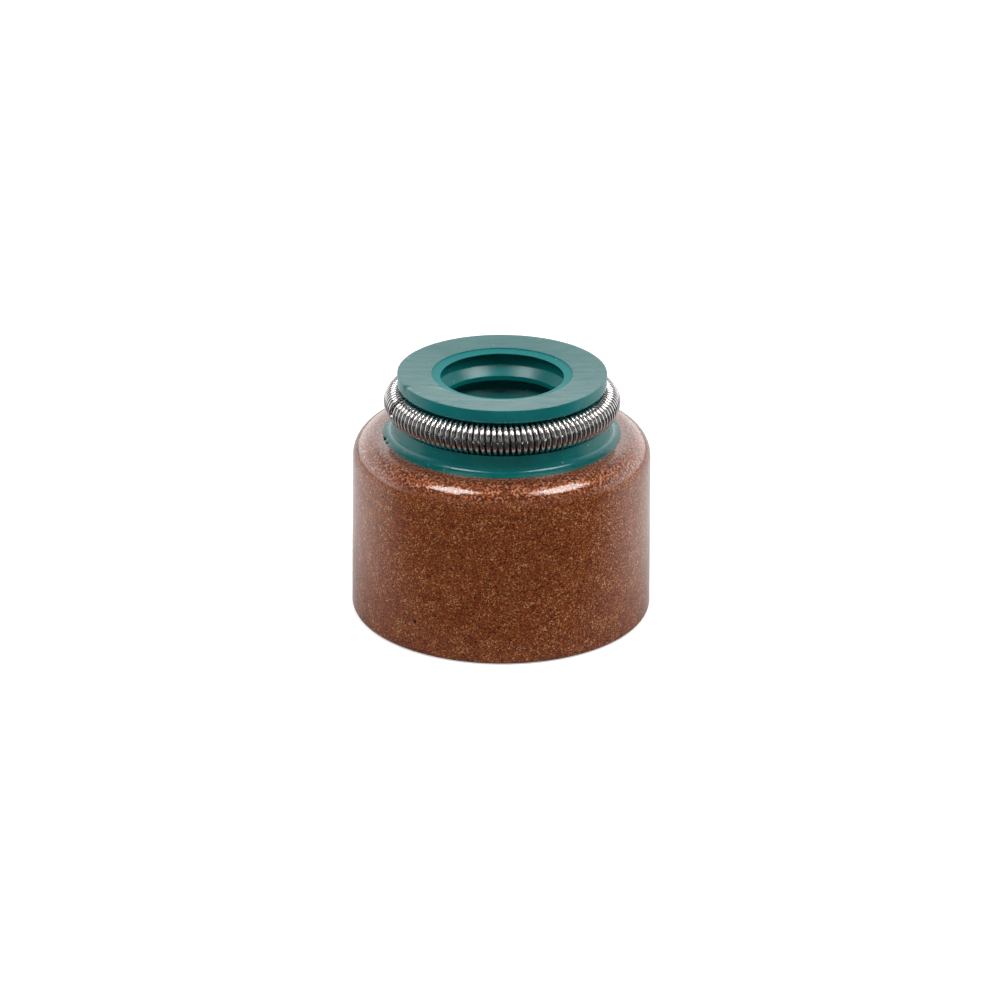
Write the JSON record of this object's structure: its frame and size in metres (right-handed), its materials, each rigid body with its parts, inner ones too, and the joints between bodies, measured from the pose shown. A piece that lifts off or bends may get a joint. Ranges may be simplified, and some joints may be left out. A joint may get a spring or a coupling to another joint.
{
  "type": "valve stem seal",
  "caption": "Valve stem seal with a brown lacquered steel shell, a green rubber body with lips in its bore, and a garter spring around its neck.",
  "frame": {"origin": "centre of the shell's open rim, on the plane that the rim stands on", "axes": "+Z along the valve stem, from the open rim towards the rubber head; the spring's ends meet at the left of the front, which faces -Y"},
  "size_m": [0.0144, 0.0144, 0.012],
  "materials": {
    "lacquered_steel": "thin golden-brown bonding lacquer over drawn steel, semi-gloss",
    "seal_rubber": "moulded fluorocarbon rubber, dark teal green, satin",
    "spring_steel": "bright drawn spring wire"
  },
  "bodies": {
    "root": {"steel_shell": "lacquered_steel", "seal_body": "seal_rubber", "garter_spring": "spring_steel"}
  },
  "joints": []
}
